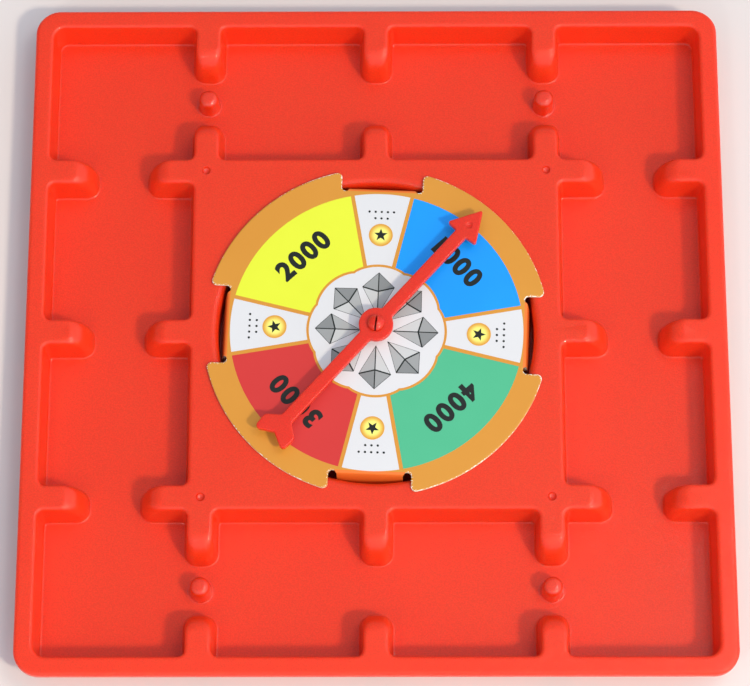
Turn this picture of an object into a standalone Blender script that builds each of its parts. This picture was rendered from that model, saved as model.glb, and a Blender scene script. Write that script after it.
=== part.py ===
"""A square game tray with a card spinner on the raised platform in its middle.

Metres, +Z up. The origin is the middle of the tray's footprint on the table, +X is the
tray's right side and +Y its far side. The tray is one moulded shell. The card disc lies
on the platform, its four folded flaps hang in the round well, and the arrow turns on a
split pin that stands in the middle of the disc.
"""

import math

import bmesh
import bpy
from mathutils import Matrix, Vector

MM = 0.001
GAP = 0.3 * MM  # between pieces that rest on or pass through each other

# Tray shell, from the round well in its middle out to its rim
WELL_RADIUS = 56.2 * MM
WELL_FILLET = 2.6 * MM
PLATFORM_MARGIN = 4.4 * MM  # between the card's edge and the platform's side
CHANNEL_WIDTH = 52.5 * MM
CHANNEL_DEPTH = 13 * MM
RIM_WIDTH = 6.6 * MM
WALL = 1.2 * MM
LIP_DROP = 3.2 * MM
LIP_EDGE = 1.3 * MM
TRAY_CORNER = 9 * MM
WALL_LEAN = 1.2 * MM  # how far a wall's foot stands out from its top, for the draft
TOP_FILLET = 1.2 * MM
FOOT_FILLET = 0.7 * MM
POCKET_CORNER = 4.4 * MM
ROOT_FILLET = 2.6 * MM  # where a tab meets the wall that it grows from, seen from above

# Tabs: twelve on the rim face twelve on the platform
TAB_WIDTH = 8.9 * MM
TAB_FLAT = 8.8 * MM
TAB_CURVE = 8.2 * MM
TAB_CORNER = 3 * MM

# Pegs on the channel floor and dimples in the platform
PEG_RADIUS = 3.6 * MM  # at its top
PEG_TAPER = 0.4 * MM
PEG_HEIGHT = 8 * MM
PEG_FILLET = 0.9 * MM
DIMPLE_RADIUS = 1.6 * MM
DIMPLE_DEPTH = 1.3 * MM

# Card disc with four folded flaps
CARD_SEAT = 2.7 * MM  # how far its edge reaches past the well's fillet
CARD_THICKNESS = 0.9 * MM
CARD_TURN = math.radians(-2.4)
CARD_CORNER = 1.7 * MM
FOLD_INSET = 3.6 * MM  # from the well's wall in to the fold
FLAP_WIDTH = 23.2 * MM
FLAP_BEND = math.radians(81)  # short of upright: the flap springs out towards the well's wall
BEND_RADIUS = 0.1 * MM  # on the inside of the fold
RELIEF_RADIUS = 1.5 * MM  # of the slot's round end beside each end of a fold
RELIEF_PAST = 0.1 * MM  # how far it reaches in past the fold

# Split pin, spacer and arrow
PIN_RADIUS = 2.2 * MM
PIN_FLANGE_RADIUS = 7 * MM
PIN_FLANGE_THICKNESS = 1.2 * MM
PIN_BARB = 0.45 * MM  # how far its head reaches past the arrow's hole
PIN_BARB_HEIGHT = 0.65 * MM
PIN_DOME_HEIGHT = 1.55 * MM
PIN_SLOT = 0.6 * MM
PIN_SLOT_DEPTH = 6 * MM
PIN_SLOT_TURN = math.radians(-7)
SPACER_WALL = 1.7 * MM
SPACER_HEIGHT = 2.2 * MM
HUB_WALL = 3.6 * MM
BOSS_STEP = 1.5 * MM  # from the hub's side in to the boss under it
BOSS_DROP = 1 * MM  # below the blade
BLADE_THICKNESS = 2.3 * MM
BLADE_EDGE = 0.45 * MM
SHAFT_WIDTH = 4.7 * MM
TIP_REACH = 57.6 * MM
TIP_ROUND = 0.6 * MM
HEAD_LENGTH = 12 * MM
HEAD_WIDTH = 13.4 * MM
BARB_SWEEP = 0.3 * MM
BARB_ROUND = 0.7 * MM
NECK_ROUND = 0.5 * MM
HEAD_DIMPLE_INSET = 7.7 * MM  # from the tip
HEAD_DIMPLE_RADIUS = 1.35 * MM
HEAD_DIMPLE_DEPTH = 0.5 * MM
TAIL_REACH = 57 * MM
TAIL_NOTCH = 3.6 * MM
TAIL_NOTCH_ROUND = 0.8 * MM
TAIL_WIDTH = 14.2 * MM
TAIL_TAPER = 0.5 * MM
TAIL_LENGTH = 6.4 * MM
TAIL_FLARE = 3.6 * MM  # from the lobes up the shaft to where it starts to widen
TAIL_FLARE_ROUND = 2 * MM
LOBE_ROUND = 2.6 * MM
LOBE_END_ROUND = 1.4 * MM
ARROW_TURN = math.radians(48.3)

# Sizes and places that follow from them
CARD_RADIUS = WELL_RADIUS + WELL_FILLET + CARD_SEAT
PLATFORM_HALF = CARD_RADIUS + PLATFORM_MARGIN
RIM_HALF = PLATFORM_HALF + CHANNEL_WIDTH
TRAY_HALF = RIM_HALF + RIM_WIDTH
TAB_CENTRE = PLATFORM_HALF - TAB_WIDTH / 2  # the outer tabs lie flush with the platform's sides
PEG_LINE = (RIM_HALF + PLATFORM_HALF) / 2  # midway in the channel
FOLD_DISTANCE = WELL_RADIUS - FOLD_INSET
RELIEF_CENTRE = Vector((FOLD_DISTANCE - RELIEF_PAST, FLAP_WIDTH / 2))
RELIEF_CENTRE += Vector((RELIEF_RADIUS, RELIEF_RADIUS))
NOTCH_HALF = RELIEF_CENTRE.y + RELIEF_RADIUS
PIN_HOLE_RADIUS = PIN_RADIUS + GAP
PIN_HEAD_RADIUS = PIN_HOLE_RADIUS + PIN_BARB
HUB_RADIUS = PIN_HOLE_RADIUS + HUB_WALL
FLOOR = WALL
TRAY_TOP = FLOOR + CHANNEL_DEPTH
CARD_BOTTOM = TRAY_TOP + GAP
CARD_TOP = CARD_BOTTOM + CARD_THICKNESS
SPACER_BOTTOM = CARD_TOP + GAP
BOSS_BOTTOM = SPACER_BOTTOM + SPACER_HEIGHT + GAP
BLADE_BOTTOM = BOSS_BOTTOM + BOSS_DROP
BLADE_TOP = BLADE_BOTTOM + BLADE_THICKNESS
PIN_HEAD_BOTTOM = BLADE_TOP + GAP
PIN_TOP = PIN_HEAD_BOTTOM + PIN_BARB_HEIGHT + PIN_DOME_HEIGHT
FLANGE_TOP = CARD_BOTTOM - GAP

PAST = 1.2 * MM  # how far a cutter runs past the face that it opens
LEAST_RADIUS = 0.3 * MM
SMOOTH_ANGLE = math.radians(35)
WALL_SHARES = (0.35, 0.6, 0.8)  # heights between a wall's fillets where the tabs are drawn
UNDER_SHARES = (0, 0.5, 0.85, 1)  # and on the hidden side
SLOT_SHARES = (0.3, 0.65, 1)  # of the slot's round end, where a flap's side is drawn along it
CROWN_SHARES = (1, 0.75, 0.5, 0.25)  # widths where a flap's round end is drawn
CORNER_STEPS = 2
ROUND_STEPS = 48
QUARTERS = [Matrix.Rotation(math.radians(90 * k), 2) for k in range(4)]


def material(name, colour, roughness):
    made = bpy.data.materials.new(name)
    made.use_nodes = True
    shader = made.node_tree.nodes["Principled BSDF"]
    shader.inputs["Base Color"].default_value = (*colour, 1)
    shader.inputs["Roughness"].default_value = roughness
    shader.inputs["Metallic"].default_value = 0
    return made


def add_object(name, mesh, collection, surface=None):
    made = bpy.data.objects.new(name, mesh)
    collection.objects.link(made)
    if surface:
        mesh.materials.append(surface)
    if collection is CUTTERS:
        made.hide_render = True
        made.display_type = "WIRE"
    return made


def mesh_from(shape, name):
    bmesh.ops.recalc_face_normals(shape, faces=shape.faces)
    mesh = bpy.data.meshes.new(name)
    shape.to_mesh(mesh)
    shape.free()
    return mesh


def boolean(target, operation, operand):
    step = target.modifiers.new(f"{operation.lower()} {operand.name}", "BOOLEAN")
    step.operation = operation
    step.object = operand
    step.solver = "EXACT"


def finish(made):
    """Takes the modifiers into the mesh and shades its round faces smooth."""
    graph = bpy.context.evaluated_depsgraph_get()
    mesh = bpy.data.meshes.new_from_object(made.evaluated_get(graph))
    made.modifiers.clear()
    made.data = mesh
    mesh.shade_smooth()
    mesh.set_sharp_from_angle(angle=SMOOTH_ANGLE)
    return made


def polar(radius, angle):
    return radius * Vector((math.cos(angle), math.sin(angle)))


def arc(centre, radius, start, sweep, steps):
    angles = [start + sweep * s / steps for s in range(steps + 1)]
    return [centre + polar(radius, angle) for angle in angles]


def rounded(corners, steps=CORNER_STEPS):
    """The points of a closed outline whose corners (x, y, radius) are arcs."""
    points = []
    for i, (x, y, radius) in enumerate(corners):
        corner = Vector((x, y))
        if not radius:
            points.append(corner)
            continue
        back = (Vector(corners[i - 1][:2]) - corner).normalized()
        on = (Vector(corners[(i + 1) % len(corners)][:2]) - corner).normalized()
        half = back.angle(on) / 2
        centre = corner + (back + on).normalized() * (radius / math.sin(half))
        start = corner + back * (radius / math.tan(half)) - centre
        end = corner + on * (radius / math.tan(half)) - centre
        sweep = -start.angle_signed(end)
        points += arc(centre, radius, math.atan2(start.y, start.x), sweep, steps)
    return points


def loft(name, rings, collection=None):
    """A closed solid through rings (height, points) that have as many points each."""
    shape = bmesh.new()
    rows = [[shape.verts.new((*point, height)) for point in points] for height, points in rings]
    for lower, upper in zip(rows, rows[1:]):
        for i in range(len(lower)):
            shape.faces.new((lower[i - 1], lower[i], upper[i], upper[i - 1]))
    shape.faces.new(reversed(rows[0]))
    shape.faces.new(rows[-1])
    return add_object(name, mesh_from(shape, name), collection or CUTTERS)


def turned(name, profile, collection=None, steps=ROUND_STEPS):
    """A turned solid. The profile's points (radius, height) run down its outer side."""
    shape = bmesh.new()
    points = [shape.verts.new((radius, 0, height)) for radius, height in profile]
    for first, second in zip(points, points[1:]):
        shape.edges.new((first, second))
    mesh = bpy.data.meshes.new(name)
    shape.to_mesh(mesh)
    shape.free()
    made = add_object(name, mesh, collection or CUTTERS)
    turn = made.modifiers.new("turn", "SCREW")
    turn.steps = turn.render_steps = steps
    turn.use_merge_vertices = True
    turn.merge_threshold = 0.00001
    return made


def plate(name, outlines, bottom, thickness, collection=None):
    """A flat solid between closed outlines. Those inside the first one are holes."""
    curve = bpy.data.curves.new(name, "CURVE")
    curve.dimensions = "2D"
    curve.fill_mode = "BOTH"
    curve.extrude = thickness / 2
    for outline in outlines:
        spline = curve.splines.new("POLY")
        spline.use_cyclic_u = True
        spline.points.add(len(outline) - 1)
        for point, (x, y) in zip(spline.points, outline):
            point.co = (x, y, 0, 1)
    drawn = bpy.data.objects.new(name + " outline", curve)
    SCENE.collection.objects.link(drawn)
    graph = bpy.context.evaluated_depsgraph_get()
    shape = bmesh.new()
    shape.from_mesh(bpy.data.meshes.new_from_object(drawn.evaluated_get(graph)))
    bpy.data.objects.remove(drawn)
    bmesh.ops.remove_doubles(shape, verts=shape.verts, dist=0.000001)
    bmesh.ops.dissolve_limit(
        shape, angle_limit=math.radians(1), verts=shape.verts, edges=shape.edges
    )
    bmesh.ops.translate(shape, verts=shape.verts, vec=(0, 0, bottom + thickness / 2))
    return add_object(name, mesh_from(shape, name), collection or CUTTERS)


def square(half, radius, steps=4):
    corners = [turn @ Vector((half, -half)) for turn in QUARTERS]
    return rounded([(x, y, radius) for x, y in corners], steps)


def fillet_profile(steps):
    return [math.radians(90 * s / steps) for s in range(steps + 1)]


def wall_levels():
    """Height above the floor and offset from the sharp top line, up a filleted wall."""

    def lean(height):
        return WALL_LEAN * (1 - height / CHANNEL_DEPTH)

    levels = []
    for angle in fillet_profile(2):
        height = FOOT_FILLET * (1 - math.cos(angle))
        levels.append((height, lean(height) + FOOT_FILLET * (1 - math.sin(angle))))
    for share in WALL_SHARES:
        levels.append((CHANNEL_DEPTH * share, lean(CHANNEL_DEPTH * share)))
    for angle in fillet_profile(3):
        height = CHANNEL_DEPTH - TOP_FILLET * (1 - math.sin(angle))
        levels.append((height, lean(height) - TOP_FILLET * (1 - math.cos(angle))))
    return levels


def under_levels():
    """The same wall's hidden side, one wall thickness in, with no fillets."""
    return [(CHANNEL_DEPTH * s, WALL_LEAN * (1 - s) - WALL) for s in UNDER_SHARES]


def tab_reach(height, offset, skin):
    """How far a tab stands out: flat on top, then a quarter ellipse down to the floor."""
    fall = math.sqrt(max(1 - (height / CHANNEL_DEPTH) ** 2, 0))
    return TAB_FLAT + TAB_CURVE * fall + max(offset - WALL_LEAN, 0) - skin


def rim_ring(height, offset, skin=0, steps=CORNER_STEPS):
    """Outline of the channel's outer wall, with the rim's tabs, seen from above."""
    wall = RIM_HALF - offset
    tip = RIM_HALF - tab_reach(height, offset, skin)
    root = max(ROOT_FILLET - offset, LEAST_RADIUS)
    corner = TAB_CORNER + offset
    ring = []
    for turn in QUARTERS:
        side = [(wall, -wall, max(POCKET_CORNER - offset, LEAST_RADIUS))]
        for middle in (-TAB_CENTRE, 0, TAB_CENTRE):
            low = middle - TAB_WIDTH / 2 - offset
            high = middle + TAB_WIDTH / 2 + offset
            side += [(wall, low, root), (tip, low, corner), (tip, high, corner), (wall, high, root)]
        ring += [(*(turn @ Vector((x, y))), radius) for x, y, radius in side]
    return rounded(ring, steps)


def platform_ring(height, offset, skin=0, steps=CORNER_STEPS):
    """Outline of the platform, with its tabs. The outer tabs lie flush with its sides."""
    wall = PLATFORM_HALF + offset
    tip = PLATFORM_HALF + tab_reach(height, offset, skin)
    root = max(ROOT_FILLET - offset, LEAST_RADIUS)
    corner = TAB_CORNER + offset
    inner = PLATFORM_HALF - TAB_WIDTH - offset
    middle = TAB_WIDTH / 2 + offset
    ring = []
    for turn in QUARTERS:
        side = [(wall, -wall, root), (tip, -wall, corner), (tip, -inner, corner), (wall, -inner, root)]
        side += [(wall, -middle, root), (tip, -middle, corner)]
        side += [(tip, middle, corner), (wall, middle, root)]
        side += [(wall, inner, root), (tip, inner, corner), (tip, wall, corner)]
        ring += [(*(turn @ Vector((x, y))), radius) for x, y, radius in side]
    return rounded(ring, steps)


def rings(outline, levels, base, skin=0, steps=CORNER_STEPS):
    return [(base + z, outline(z, offset, skin, steps)) for z, offset in levels]


def extended(stack, bottom=None, top=None):
    """The rings with a straight run below the first or above the last."""
    return (
        [(bottom, stack[0][1])] * (bottom is not None)
        + stack
        + [(top, stack[-1][1])] * (top is not None)
    )


def flange():
    """The flat rim and its turned-down lip, as a lid that the channel is cut into."""
    lid = [(TRAY_TOP - LIP_DROP, square(TRAY_HALF, TRAY_CORNER))]
    for angle in fillet_profile(3):
        inset = LIP_EDGE * (1 - math.cos(angle))
        height = TRAY_TOP - LIP_EDGE * (1 - math.sin(angle))
        lid.append((height, square(TRAY_HALF - inset, TRAY_CORNER - inset)))
    made = loft("tray", lid, PARTS)
    hollow = square(TRAY_HALF - WALL, TRAY_CORNER - WALL)
    under = loft("under the rim", [(-PAST, hollow), (TRAY_TOP - WALL, hollow)])
    boolean(made, "DIFFERENCE", under)
    return made


def channel(tray):
    """The drafted trough with the rim's tabs: its outer skin added, its inside cut."""
    skin = rings(rim_ring, under_levels(), 0, WALL, 1)
    boolean(tray, "UNION", loft("trough skin", extended(skin, top=TRAY_TOP - WALL / 2)))
    inside = rings(rim_ring, wall_levels(), FLOOR)
    boolean(tray, "DIFFERENCE", loft("trough", extended(inside, top=TRAY_TOP + PAST)))


def platform(tray):
    """The raised platform with its tabs, hollow underneath, and the round well in it."""
    outside = rings(platform_ring, wall_levels(), FLOOR)
    boolean(tray, "UNION", loft("platform", extended(outside, bottom=WALL / 2)))
    inside = rings(platform_ring, under_levels(), 0, WALL, 1)
    boolean(tray, "DIFFERENCE", loft("under the platform", extended(inside, bottom=-PAST)))
    cup = WELL_RADIUS + WALL
    skin = [(0, TRAY_TOP - WALL / 2), (cup, TRAY_TOP - WALL / 2), (cup, 0), (0, 0)]
    boolean(tray, "UNION", turned("well skin", skin))
    well = [(0, TRAY_TOP + PAST), (WELL_RADIUS + WELL_FILLET, TRAY_TOP + PAST)]
    for angle in reversed(fillet_profile(3)):
        radius = WELL_RADIUS + WELL_FILLET * (1 - math.cos(angle))
        well.append((radius, TRAY_TOP - WELL_FILLET * (1 - math.sin(angle))))
    well += [(WELL_RADIUS, FLOOR), (0, FLOOR)]
    boolean(tray, "DIFFERENCE", turned("well", well))


def peg_profile(inset, bottom):
    """A tapered peg with a rounded top, or the hollow in it one wall thickness in."""
    top = FLOOR + PEG_HEIGHT - inset
    fillet = PEG_FILLET - min(inset, PEG_FILLET)
    profile = [(0, top)]
    for angle in reversed(fillet_profile(2) if fillet else [0]):
        radius = PEG_RADIUS - inset - fillet * (1 - math.cos(angle))
        profile.append((radius, top - fillet * (1 - math.sin(angle))))
    foot = PEG_RADIUS + PEG_TAPER - inset
    return profile + [(foot, FLOOR - inset), (foot, bottom), (0, bottom)]


def add_copies(tray, operation, name, profile, places, steps):
    for number, (x, y) in enumerate(places, 1):
        made = turned(f"{name} {number}", profile, steps=steps)
        made.location = (x, y, 0)
        boolean(tray, operation, made)


def pegs(tray):
    places = [(x * TAB_CENTRE, y * PEG_LINE) for x in (-1, 1) for y in (-1, 1)]
    add_copies(tray, "UNION", "peg", peg_profile(0, WALL / 2), places, 20)
    add_copies(tray, "DIFFERENCE", "peg hollow", peg_profile(WALL, -PAST), places, 12)


def dimples(tray):
    """Small round dimples where the lines of the outer tabs cross."""
    places = [(x * TAB_CENTRE, y * TAB_CENTRE) for x in (-1, 1) for y in (-1, 1)]
    radius = DIMPLE_RADIUS + WALL
    low = TRAY_TOP - DIMPLE_DEPTH - WALL
    boss = [(0, TRAY_TOP - WALL / 2), (radius, TRAY_TOP - WALL / 2), (radius, low), (0, low)]
    add_copies(tray, "UNION", "dimple boss", boss, places, 12)
    cut = [(0, TRAY_TOP + PAST), (DIMPLE_RADIUS, TRAY_TOP + PAST)]
    for angle in fillet_profile(3):
        cut.append((DIMPLE_RADIUS * math.cos(angle), TRAY_TOP - DIMPLE_DEPTH * math.sin(angle)))
    add_copies(tray, "DIFFERENCE", "dimple", cut, places, 12)


def card_outline():
    """The disc's edge with its four notches, each a fold between two round-ended slots."""
    right = math.radians(90)
    fold_end = math.acos((RELIEF_CENTRE.x - FOLD_DISTANCE) / RELIEF_RADIUS)
    sweep = -right - fold_end
    before = arc(RELIEF_CENTRE * Vector((1, -1)), RELIEF_RADIUS, -right, sweep, 8)
    after = arc(RELIEF_CENTRE, RELIEF_RADIUS, 2 * right + fold_end, sweep, 8)
    start = math.asin(NOTCH_HALF / CARD_RADIUS)
    edge = arc(Vector((0, 0)), CARD_RADIUS, start, right - 2 * start, 14)
    outline = []
    for turn in QUARTERS:
        outline += [(*(turn @ point), 0) for point in before + after]
        outline += [(*(turn @ point), 0) for point in edge]
        outline[-1] = (*outline[-1][:2], CARD_CORNER)
        outline[-len(edge)] = (*outline[-len(edge)][:2], CARD_CORNER)
    return rounded(outline, 3)


def flap_half(reach):
    """Half the flap's width, that far from the hub as flat board."""
    depth = max(RELIEF_CENTRE.x - reach, 0)
    return RELIEF_CENTRE.y - math.sqrt(RELIEF_RADIUS**2 - depth**2)


def flap_path():
    """Bend angle, straight run and half width, from the fold to the flap's end."""
    middle = BEND_RADIUS + CARD_THICKNESS / 2
    slot = RELIEF_CENTRE.x - FOLD_DISTANCE
    bend = [FLAP_BEND * s / 4 for s in range(1, 5)]
    path = [(angle, 0, flap_half(FOLD_DISTANCE + angle * middle)) for angle in bend]
    left = slot - FLAP_BEND * middle
    for share in SLOT_SHARES:
        path.append((FLAP_BEND, left * share, flap_half(RELIEF_CENTRE.x - left * (1 - share))))
    for width in [FLAP_WIDTH / 2 * share for share in CROWN_SHARES]:
        reach = math.sqrt(CARD_RADIUS**2 - width**2) - FOLD_DISTANCE
        path.append((FLAP_BEND, reach - FLAP_BEND * middle, width))
    return path


def add_flap(shape, turn):
    """Draws the disc's edge out at one fold, round the bend and down into the well."""

    def place(bend, run, width, side, level):
        out = Vector((math.sin(bend), 0, math.cos(bend)))
        along = Vector((math.cos(bend), 0, -math.sin(bend)))
        point = Vector((FOLD_DISTANCE, side * width, CARD_BOTTOM - BEND_RADIUS))
        return turn @ (point + along * run + out * (BEND_RADIUS + level * CARD_THICKNESS))

    def nearest(items, where, target):
        return min(items, key=lambda item: (where(item) - target).length)

    section = ((-1, 0), (1, 0), (1, 1), (-1, 1))
    middle = place(0, 0, 0, 0, 0.5)
    fold = nearest(shape.faces, lambda face: face.calc_center_median(), middle)
    ends = [place(0, 0, flap_half(FOLD_DISTANCE), *corner) for corner in section]
    row = [nearest(fold.verts, lambda vert: vert.co, end) for end in ends]
    shape.faces.remove(fold)
    for bend, run, width in flap_path():
        last = row
        row = [shape.verts.new(place(bend, run, width, *corner)) for corner in section]
        for i in range(4):
            shape.faces.new((last[i - 1], last[i], row[i], row[i - 1]))
    shape.faces.new(row)


def spinner_card(board):
    """A disc of board with a hole for the pin and four flaps, folded down."""
    hole = arc(Vector((0, 0)), PIN_HOLE_RADIUS, 0, math.radians(360), 24)[:-1]
    made = plate("spinner_card", [card_outline(), hole], CARD_BOTTOM, CARD_THICKNESS, PARTS)
    shape = bmesh.new()
    shape.from_mesh(made.data)
    for turn in QUARTERS:
        add_flap(shape, turn.to_4x4())
    bmesh.ops.recalc_face_normals(shape, faces=shape.faces)
    shape.to_mesh(made.data)
    shape.free()
    made.rotation_euler.z = CARD_TURN
    made.data.materials.append(board)
    return finish(made)


def pivot_pin(plastic):
    """The flanged pin with a domed, barbed head, slit so that its halves can close."""
    profile = [(0, PIN_TOP)]
    for angle in reversed(fillet_profile(4)[:-1]):
        height = PIN_TOP - PIN_DOME_HEIGHT * (1 - math.sin(angle))
        profile.append((PIN_HEAD_RADIUS * math.cos(angle), height))
    profile += [(PIN_RADIUS, PIN_HEAD_BOTTOM), (PIN_RADIUS, FLANGE_TOP)]
    bottom = FLANGE_TOP - PIN_FLANGE_THICKNESS
    profile += [(PIN_FLANGE_RADIUS, FLANGE_TOP), (PIN_FLANGE_RADIUS, bottom), (0, bottom)]
    made = turned("pivot_pin", profile, PARTS, 32)
    made.data.materials.append(plastic)
    x, y = PIN_SLOT / 2, PIN_HEAD_RADIUS + PAST
    slot = [Vector(corner) for corner in ((-x, -y), (x, -y), (x, y), (-x, y))]
    cut = loft("pin slot", [(PIN_TOP - PIN_SLOT_DEPTH, slot), (PIN_TOP + PAST, slot)])
    cut.rotation_euler.z = PIN_SLOT_TURN
    boolean(made, "DIFFERENCE", cut)
    return finish(made)


def spacer(plastic):
    """The collar that holds the arrow clear of the card."""
    outer = PIN_HOLE_RADIUS + SPACER_WALL
    top = SPACER_BOTTOM + SPACER_HEIGHT
    profile = [(PIN_HOLE_RADIUS, top), (outer, top)]
    profile += [(outer, SPACER_BOTTOM), (PIN_HOLE_RADIUS, SPACER_BOTTOM)]
    made = turned("spacer", profile + profile[:1], PARTS, 32)
    made.data.materials.append(plastic)
    return finish(made)


def blade_outline():
    """The arrow along +X: pointed head, straight shaft and a fish tail with round lobes."""
    half = SHAFT_WIDTH / 2
    neck = TIP_REACH - HEAD_LENGTH
    tail = TAIL_REACH - TAIL_LENGTH
    far_side = [
        (neck + BARB_SWEEP, HEAD_WIDTH / 2, BARB_ROUND),
        (neck, half, NECK_ROUND),
        (-tail + TAIL_FLARE, half, TAIL_FLARE_ROUND),
        (-tail, TAIL_WIDTH / 2, LOBE_ROUND),
        (-TAIL_REACH, TAIL_WIDTH / 2 - TAIL_TAPER, LOBE_END_ROUND),
    ]
    near_side = [(x, -y, radius) for x, y, radius in reversed(far_side)]
    tip = [(TIP_REACH, 0, TIP_ROUND)]
    notch = [(-TAIL_REACH + TAIL_NOTCH, 0, TAIL_NOTCH_ROUND)]
    return rounded(tip + far_side + notch + near_side, 3)


def drill(name, radius, bottom, steps):
    """A cutter for a round hole in the blade, from above it down to the bottom."""
    top = BLADE_TOP + PAST
    return turned(name, [(0, top), (radius, top), (radius, bottom), (0, bottom)], steps=steps)


def arrow(plastic):
    """The arrow: a flat blade with soft edges, on a hub with a boss underneath."""
    made = plate("arrow", [blade_outline()], BLADE_BOTTOM, BLADE_THICKNESS, PARTS)
    made.data.materials.append(plastic)
    soft = made.modifiers.new("soft edges", "BEVEL")
    soft.width = BLADE_EDGE
    soft.segments = 2
    soft.limit_method = "ANGLE"
    soft.angle_limit = math.radians(60)
    edge = BLADE_TOP - BLADE_EDGE
    boss = HUB_RADIUS - BOSS_STEP
    profile = [(0, BLADE_TOP), (HUB_RADIUS - BLADE_EDGE, BLADE_TOP), (HUB_RADIUS, edge)]
    profile += [(HUB_RADIUS, BLADE_BOTTOM), (boss, BLADE_BOTTOM), (boss, BOSS_BOTTOM)]
    boolean(made, "UNION", turned("hub", profile + [(0, BOSS_BOTTOM)], steps=40))
    boolean(made, "DIFFERENCE", drill("hub hole", PIN_HOLE_RADIUS, BOSS_BOTTOM - PAST, 32))
    deep = BLADE_TOP - HEAD_DIMPLE_DEPTH
    cut = drill("head dimple", HEAD_DIMPLE_RADIUS, deep, 16)
    cut.location.x = TIP_REACH - HEAD_DIMPLE_INSET
    boolean(made, "DIFFERENCE", cut)
    finish(made)
    made.rotation_euler.z = ARROW_TURN
    return made


def tray(plastic):
    made = flange()
    channel(made)
    platform(made)
    pegs(made)
    dimples(made)
    made.data.materials.append(plastic)
    return finish(made)


for old in list(bpy.data.objects):
    bpy.data.objects.remove(old)
SCENE = bpy.context.scene
PARTS = bpy.data.collections.new("game spinner")
CUTTERS = bpy.data.collections.new("cutters")
for group in (PARTS, CUTTERS):
    SCENE.collection.children.link(group)

tray(material("red tray plastic", (0.87, 0.06, 0.025), 0.35))
spinner_card(material("printed board", (0.75, 0.36, 0.05), 0.45))
RED = material("red arrow plastic", (0.85, 0.05, 0.025), 0.35)
pivot_pin(RED)
spacer(RED)
arrow(RED)
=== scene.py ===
# %% [markdown]
# # A game spinner: a moulded tray, a printed board disc and a turning arrow
#
# The solids of the five real pieces come ready made, in metres, with +Z up and the origin
# under the middle of the tray. This lesson dresses them: it draws each moulding again
# with finer curves, prints the disc, and gives each surface the look of its material.

# %% Load the frame and keep its box
import math

import bmesh
import bpy
from mathutils import Matrix, Vector
from mathutils.geometry import tessellate_polygon


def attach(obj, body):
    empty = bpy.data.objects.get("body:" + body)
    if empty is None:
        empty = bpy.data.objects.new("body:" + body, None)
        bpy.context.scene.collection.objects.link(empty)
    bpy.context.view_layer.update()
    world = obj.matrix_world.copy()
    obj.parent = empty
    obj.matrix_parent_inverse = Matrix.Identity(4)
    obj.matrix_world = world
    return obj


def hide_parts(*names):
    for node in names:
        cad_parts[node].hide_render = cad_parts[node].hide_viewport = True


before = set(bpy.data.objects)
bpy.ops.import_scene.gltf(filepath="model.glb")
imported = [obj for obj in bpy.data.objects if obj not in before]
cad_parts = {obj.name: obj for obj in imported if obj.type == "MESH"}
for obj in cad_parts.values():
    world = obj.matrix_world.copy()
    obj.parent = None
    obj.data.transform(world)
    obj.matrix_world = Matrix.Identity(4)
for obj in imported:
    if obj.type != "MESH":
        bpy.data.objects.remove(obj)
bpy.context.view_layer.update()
SCENE = bpy.context.scene
MM = 0.001

# %% [markdown]
# ## The camera
#
# The picture was taken from a good metre away with a long lens, a little towards the near
# side. A camera is placed by its own axes: where it looks, what is right and what is up.

# %% Place the camera
TILT = math.radians(19.03)  # off straight down
SWING = math.radians(0.97)  # round the object, to the right
DISTANCE = 1.132
AIM = Vector((-0.47, -0.25, 1.2)) * MM
LENS = 151.2  # the focal length, in millimetres like the sensor's width
SENSOR_WIDTH = 36


def in_scene(name, data):
    """A new object that holds the mesh, text, lamp or camera, linked to the scene."""
    made = bpy.data.objects.new(name, data)
    SCENE.collection.objects.link(made)
    return made


camera_data = bpy.data.cameras.new("camera")
camera_data.sensor_width = SENSOR_WIDTH
camera_data.lens = LENS
camera = in_scene("camera", camera_data)
back = Vector(
    (math.sin(TILT) * math.sin(SWING), -math.sin(TILT) * math.cos(SWING), math.cos(TILT))
)
right = Vector((0, 1, 0)).cross(back).normalized()
axes = Matrix((right, back.cross(right), back)).transposed()
camera.matrix_world = Matrix.Translation(AIM + back * DISTANCE) @ axes.to_4x4()
SCENE.camera = camera
SCENE.view_settings.view_transform = "Standard"
print("camera at", [round(v, 3) for v in camera.location])

# %% [markdown]
# ## Helpers for nodes and colours
#
# A colour is given as an sRGB hex value, but a shader works in linear light. One
# function turns it. Another adds a node to a tree, with its settings and its links, so
# that a material reads from top to bottom like a recipe.

# %% Colour and node helpers
def linear(code):
    """Linear RGBA from an sRGB hex colour."""
    values = [int(code[i : i + 2], 16) / 255 for i in (1, 3, 5)]
    return [v / 12.92 if v <= 0.04045 else ((v + 0.055) / 1.055) ** 2.4 for v in values] + [1]


def add(tree, kind, settings=None, **inputs):
    """Adds a node. An input is a value or another node's socket, by its name or number."""
    made = tree.nodes.new(kind)
    for name, value in (settings or {}).items():
        setattr(made, name, value)
    for name, value in inputs.items():
        key = int(name[1:]) if name[0] == "i" and name[1:].isdigit() else name.replace("_", " ")
        if isinstance(value, bpy.types.NodeSocket):
            tree.links.new(value, made.inputs[key])
        else:
            made.inputs[key].default_value = value
    return made


def surface(name, **looks):
    """A new material, its tree and its shader, with those looks set."""
    made = bpy.data.materials.new(name)
    made.use_nodes = True
    shader = made.node_tree.nodes["Principled BSDF"]
    for look, value in looks.items():
        shader.inputs[look.replace("_", " ")].default_value = value
    return made, made.node_tree, shader


def mixed(tree, factor, first, second):
    """A colour between two hex colours."""
    made = add(tree, "ShaderNodeMix", {"data_type": "RGBA"}, i0=factor)
    for number, colour in ((6, first), (7, second)):
        if isinstance(colour, str):
            made.inputs[number].default_value = linear(colour)
        else:
            tree.links.new(colour, made.inputs[number])
    return made.outputs[2]


print("white is", linear("#FFFFFF"))

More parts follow.
